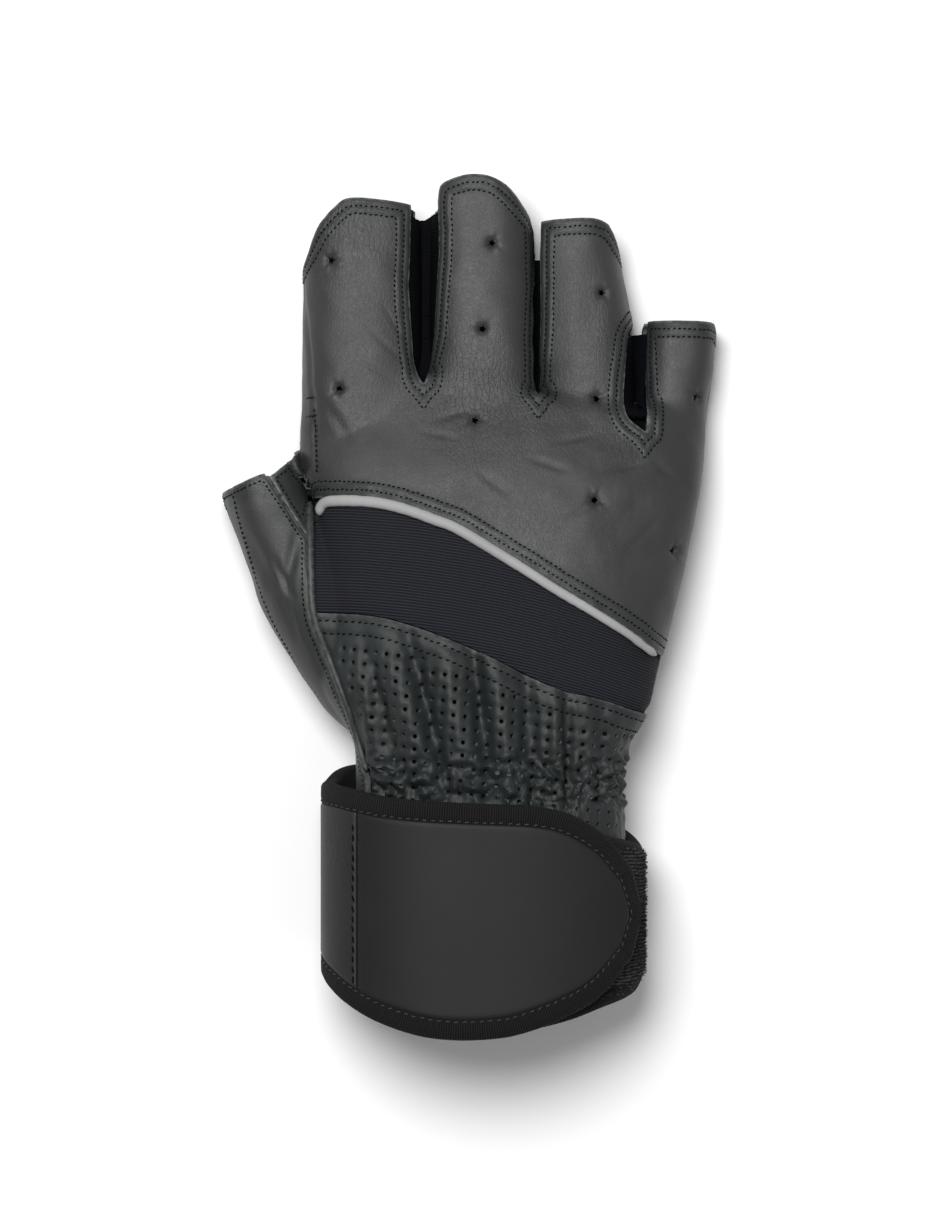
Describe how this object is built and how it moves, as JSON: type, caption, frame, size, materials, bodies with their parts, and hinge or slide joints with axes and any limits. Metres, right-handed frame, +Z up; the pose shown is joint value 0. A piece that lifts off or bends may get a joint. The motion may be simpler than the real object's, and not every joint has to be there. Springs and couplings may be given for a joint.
{
  "type": "fingerless weightlifting glove with wrist wrap",
  "caption": "Fingerless leather weightlifting glove for the right hand with stretch back panel, grey piping, gathered perforated wrist and a wrap strap with rounded flap",
  "frame": {"origin": "on the surface that the glove rests on, under the middle of its box", "axes": "+X from the thumb side to the little finger, +Y from the wrist to the fingers, +Z up out of the back of the hand"},
  "size_m": [0.1234, 0.2166, 0.049],
  "materials": {
    "leather": "smooth charcoal leather with a soft sheen and fine grain",
    "perforated_leather": "gathered charcoal leather with rows of small punched holes",
    "stretch_fabric": "near-black stretch fabric with fine ribs",
    "grey_piping": "light grey soft coated piping",
    "strap_leather": "grained dark leather",
    "matte_panel": "matte dark grey synthetic leather",
    "binding_tape": "ribbed black elastic tape with topstitching",
    "elastic_webbing": "woven black elastic",
    "loop_pile": "fuzzy black loop pile"
  },
  "bodies": {
    "root": {"back_leather": "leather", "palm_leather": "leather", "fourchette_index_middle": "stretch_fabric", "fourchette_middle_ring": "stretch_fabric", "fourchette_ring_little": "stretch_fabric", "knuckle_piping": "grey_piping", "stretch_panel": "stretch_fabric", "wrist_leather": "perforated_leather", "thumb_leather": "leather", "thumb_gusset": "leather", "thumb_welt": "leather", "wrist_strap": "elastic_webbing", "strap_binding": "binding_tape", "strap_leather_patch": "strap_leather", "strap_panel": "matte_panel", "strap_loop_pile": "loop_pile"}
  },
  "joints": []
}
